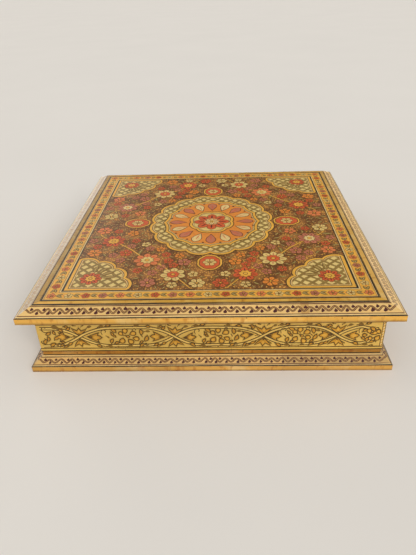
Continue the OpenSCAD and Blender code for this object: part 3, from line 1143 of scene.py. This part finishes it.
class Meadow:
    """What is still free on the quarter of the field to the right of and behind its middle."""

    def __init__(self, corner):
        self.corner = corner
        self.taken = []

    def free(self, place, radius):
        far = place + complex(radius, radius)
        near = place - complex(radius, radius)
        reach_x, reach_y = MEDALLION.real + radius, MEDALLION.imag + radius
        return (
            min(near.real, near.imag) > 0.3
            and far.real < self.corner.real
            and far.imag < self.corner.imag
            and abs(complex(place.real / reach_x, place.imag / reach_y)) > 1
            and abs(self.corner - place) > QUARTER + radius
            and all(abs(place - other) > radius + size for other, size in self.taken)
        )

    def take(self, place, radius):
        self.taken.append((place, radius))


def paint_quarter(paint, corner, key):
    """One quarter of the field: a flowering stem, then small flowers and leaves wherever there is room."""
    draw = random.Random(4)
    meadow = Meadow(corner)
    for step in range(4):
        meadow.take(complex(0, MEDALLION.imag + 4 * step), PENDANT.real + 0.8)
        meadow.take(complex(MEDALLION.real + 4 * step, 0), PENDANT.real + 0.8)
    stem = curve(STEM, 8)
    paint.stroke(stem, 1.5, "brown_dark", 1, 0.4)
    paint.stroke(stem, 0.9, "ochre", 2, 0.4)
    for number, (place, radius, petals) in enumerate(FLOWER_PLACES):
        colours = FLOWERS[(number + key) % len(FLOWERS)]
        blossom(paint, place, radius * draw.uniform(0.97, 1.03), petals, colours, 3, draw.uniform(0, 1))
        meadow.take(place, radius)
    for number, (before, here) in enumerate(zip(stem[3::4], stem[4::4])):
        side = 1 if number % 2 else -1
        aim = cmath.phase(here - before) + side * 0.9
        middle = here + cmath.rect(4, aim)
        if meadow.free(middle, 2.2):
            foliage(paint, here + cmath.rect(0.5, aim), aim, 6.6, 1)
            meadow.take(middle, 2.6)
    for kind, radius, tries in SCATTERED:
        for _ in range(tries):
            place = complex(draw.uniform(0, corner.real), draw.uniform(0, corner.imag))
            aim = draw.uniform(0, math.tau)
            colour = draw.randrange(len(FLOWERS))
            if not meadow.free(place, radius):
                continue
            meadow.take(place, radius * 0.95)
            if kind == "flower":
                blossom(paint, place, radius, 5, FLOWERS[colour], 1, aim)
            elif kind == "leaf":
                ink = "olive" if colour % 2 else "leaf_green"
                foliage(paint, place - cmath.rect(radius, aim), aim, radius * 2, 1, ink)
            else:
                paint.patch(disc(place, radius * 0.6, 6), "ochre", 1)


def paint_field():
    """The four quarters of the field, each a mirror image, with the lattice in the corners."""
    corner = panel_corner()[0] - complex(FIELD_IN, FIELD_IN)
    for number, flip in enumerate(((1, 1), (-1, 1), (-1, -1), (1, -1))):
        paint = Paint(panel_face())
        paint.flip = flip
        paint_quarter(paint, corner, number % 2)
        inset = 0
        for width, ink in RIMS:
            paint.ring(corner_outline(corner, inset), corner_outline(corner, inset + width), ink, 1)
            inset += width
        paint.patch(corner_outline(corner, inset), "lattice", 1)
        middle = corner - complex(12.5, 12.5)
        blossom(paint, middle, 6.4, 8, FLOWERS[2], 3)
        for step in range(4):
            aim = math.radians(186 + 26 * step)
            foliage(paint, middle + cmath.rect(6.8, aim), aim, 7.5, 3, "olive")
        paint.piece(f"panel_quarter_{number + 1}", "lid")


def paint_medallion():
    """The cusped medallion and its four pendants."""
    paint = Paint(panel_face())
    for turn in range(4):
        aim = 1j**turn
        size = PENDANT if turn % 2 else complex(PENDANT.imag, PENDANT.real)
        reached = MEDALLION.imag if turn % 2 else MEDALLION.real
        middle = aim * (reached + PENDANT.imag - 1.5)
        outline = [middle + point for point in lobes(size, 8, 0.04)]
        paint.patch(paint.rims(outline, ((0.45, "black"), (1.1, "ochre"), (0.4, "black")), 1), "red", 1)
        blossom(paint, middle, 4.2, 6, FLOWERS[1], 2)
    for share, depth, ink, coat in ((1, 0.06, "lattice", 2), (0.74, -0.06, "orange", 3)):
        paint.patch(paint.rims(lobes(MEDALLION * share, 16, depth), RIMS, coat), ink, coat)
    for spoke in range(16):
        angle = math.tau * spoke / 16
        aim = complex(MEDALLION.real * math.cos(angle), MEDALLION.imag * math.sin(angle))
        root = aim * 0.40
        ink = "pale" if spoke % 2 else "mauve"
        paint.motif(leaf(root, aim * 0.66, abs(aim) * 0.135, 0, 1.5, 0.75), ink, 5, "maroon", 0.4)
        paint.stroke([aim * share for share in (0.45, 0.52, 0.59)], 0.7, "red", 7, 0.8)
        between = aim * cmath.rect(1, math.pi / 16)
        paint.patch(disc(between * 0.655, 0.75, 8), "maroon", 5)
    paint.patch(paint.rims(lobes(MEDALLION * 0.37, 8, 0.08), RIMS, 5), "cream", 5)
    blossom(paint, 0, 12.0, 8, ("red", "maroon", "salmon"), 6)
    blossom(paint, 0, 5.0, 8, ("pale", "mauve", "ochre"), 11)
    paint.piece("panel_medallion", "lid")


# Bands that edge the panel: how far in each starts, and its ink
BAND_EDGES = (
    (0.1, "black"),
    (0.7, "pale"),
    (1.0, "brown"),
    (1.35, "ochre"),
    (FIELD_IN - 1.7, "brown"),
    (FIELD_IN - 1.3, "pale"),
    (FIELD_IN - 0.6, "black"),
    (FIELD_IN, ""),
)
# Distance between the flowers of the band
BAND_STEP = 9.4


def paint_band():
    """The band of flowers and leaves round the field, and the lines that edge it."""
    paint = Paint(panel_face())

    def framed(inset):
        """Corners of the panel, moved in by a distance."""
        corner = panel_corner()[0] - complex(inset, inset)
        return [corner, -corner.conjugate(), -corner, corner.conjugate()]

    for (outer, ink), (inner, _) in zip(BAND_EDGES, BAND_EDGES[1:]):
        paint.ring(framed(outer), framed(inner), ink, 1)
    draw = random.Random(9)
    inside = framed((BAND_EDGES[3][0] + BAND_EDGES[4][0]) / 2)
    for start, end in zip(inside, inside[1:] + inside[:1]):
        count = round(abs(end - start) / BAND_STEP)
        along = (end - start) / count
        for step in range(count):
            place = start + along * step
            blossom(paint, place, 2.45, 5, FLOWERS[step % 4], 2, draw.uniform(0, 1))
            for side in (-1, 1):
                foliage(paint, place + along * 0.3, cmath.phase(along) + side * 0.42, 3.6, 2)
            paint.patch(disc(place + along * 0.72, 0.45, 6), "red", 2)
    paint.piece("panel_band", "lid")


# Velvet linings


# Size of the squares of a lining's grid and length of its unevenness. Then, as shares of the plain solid's
# thickness, how far it rises and falls, how far its edge falls, and what is taken off each face
GRID = 4 * MM
PUFF_LENGTH = 18 * MM
PUFF = 0.06
EDGE_FALL = 0.11
THINNER = 0.15


def lining(node, body):
    """A sheet of velvet in place of the plain solid: softly uneven, with rounded edges."""
    low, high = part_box(node)
    size = high - low
    thin = min(range(3), key=lambda axis: size[axis])
    wide, tall = [axis for axis in range(3) if axis != thin]
    columns, rows = [max(4, round(size[axis] / GRID)) for axis in (wide, tall)]
    across = columns + 1
    points, faces = [], []
    for layer in (0, 1):
        for b in range(rows + 1):
            for a in range(across):
                point = [0.0, 0.0, 0.0]
                point[wide] = low[wide] + size[wide] * a / columns
                point[tall] = low[tall] + size[tall] * b / rows
                at_edge = min(a, b, columns - a, rows - b) == 0
                puff = noise.noise(Vector(point) / PUFF_LENGTH) * PUFF - (EDGE_FALL if at_edge else 0)
                inset = THINNER + (-puff if layer else puff)
                point[thin] = low[thin] + size[thin] * (1 - inset if layer else inset)
                points.append(point)
    count = across * (rows + 1)
    for start in range(0, count - across, across):
        row = list(range(start, start + across))
        ahead = [index + across for index in row]
        faces += quads(ahead, row)
        faces += quads([count + index for index in row], [count + index for index in ahead])
    smooth = len(faces)
    border = list(range(across))
    border += [b * across + columns for b in range(1, rows + 1)]
    border += [rows * across + a for a in range(columns - 1, -1, -1)]
    border += [b * across for b in range(rows - 1, -1, -1)]
    faces += quads(border, [count + index for index in border])
    made = new_object(f"{node}_velvet", points, faces)
    made.data.materials.append(VELVET)
    for polygon in made.data.polygons[:smooth]:
        polygon.use_smooth = True
    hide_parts(node)
    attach(made, body)


# Studio


# Level of the sky, and its level as the camera sees it. Then parts of the sky: aim, angles from it in degrees
# where the part is full and where it ends, and level. The lid mirrors the dim part, the glow lies low behind
# the box on the left, and the window is the main light.
SKY_LEVEL = 0.66
SKY_SEEN = 0.76
DIM = ((0, 0.88, 0.48), 12, 45, 0.16)
GLOW = ((-0.52, 0.85, 0.05), 5, 24, 4.8)
WINDOW = ((0.38, -0.76, 0.54), 11, 20, 7.0)
SKY_COLOUR = (1.0, 0.98, 0.95, 1)
FLOOR_COLOUR = (236, 232, 226)
# Radius of the floor, in metres
FLOOR_RADIUS = 40


def studio():
    """A pale floor under a plain sky with a soft window at the front right and a glow behind on the left."""
    scene = bpy.context.scene
    scene.view_settings.view_transform = "Standard"
    world = bpy.data.worlds.new("studio")
    scene.world = world
    sky = Shader(world, "Generated", 1)

    def part(aim, near, far, inside, outside):
        aim = Vector(aim).normalized()
        dot = sky.node("ShaderNodeVectorMath", {"operation": "DOT_PRODUCT"}, {0: sky.place, 1: aim})
        ends = [math.cos(math.radians(angle)) for angle in (far, near)]
        return sky.between(dot.outputs["Value"], *ends, outside, inside)

    level = sky.math("MULTIPLY", part(*DIM, 1), SKY_LEVEL)
    level = sky.math("MAXIMUM", level, part(*GLOW, 0))
    level = sky.math("MAXIMUM", level, part(*WINDOW, 0))
    seen = sky.node("ShaderNodeLightPath", {}, {}).outputs["Is Camera Ray"]
    level = sky.node("ShaderNodeMix", {}, {0: seen, 2: level, 3: SKY_SEEN}).outputs[0]
    background = sky.tree.nodes["Background"]
    background.inputs["Color"].default_value = SKY_COLOUR
    sky.tree.links.new(level, background.inputs["Strength"])
    bpy.ops.mesh.primitive_circle_add(vertices=96, radius=FLOOR_RADIUS, fill_type="NGON", location=(0, 0, 0))
    floor = bpy.context.object
    floor.name = "floor"
    shader = new_shader("pale_floor")
    mottle = shader.noise(200)
    colour = shader.shade(linear(FLOOR_COLOUR), shader.spread(mottle, 0.99, 1.01))
    floor.data.materials.append(shader.finish(colour, shader.spread(mottle, 0.9, 1), Specular_IOR_Level=0))


def camera():
    data = bpy.data.cameras.new("camera")
    data.lens = CAMERA_LENS
    data.sensor_width = SENSOR
    data.clip_start = 0.01
    made = bpy.data.objects.new("camera", data)
    bpy.context.scene.collection.objects.link(made)
    made.location = Vector(CAMERA_PLACE) * MM
    made.rotation_euler = Euler([math.radians(turn) for turn in CAMERA_TURN])
    bpy.context.scene.camera = made


camera()
studio()
VELVET = velvet_material()
dress_runs()
dress_metal()
for side_name in SIDES:
    paint_lid_slope(side_name)
    paint_lid_strip(side_name)
    paint_plinth_slope(side_name)
    paint_fillet(side_name)
    paint_frieze(side_name)
    lining(f"{side_name}_lining", "base")
paint_band()
paint_field()
paint_medallion()
lining("floor_lining", "base")
lining("lid_lining", "lid")
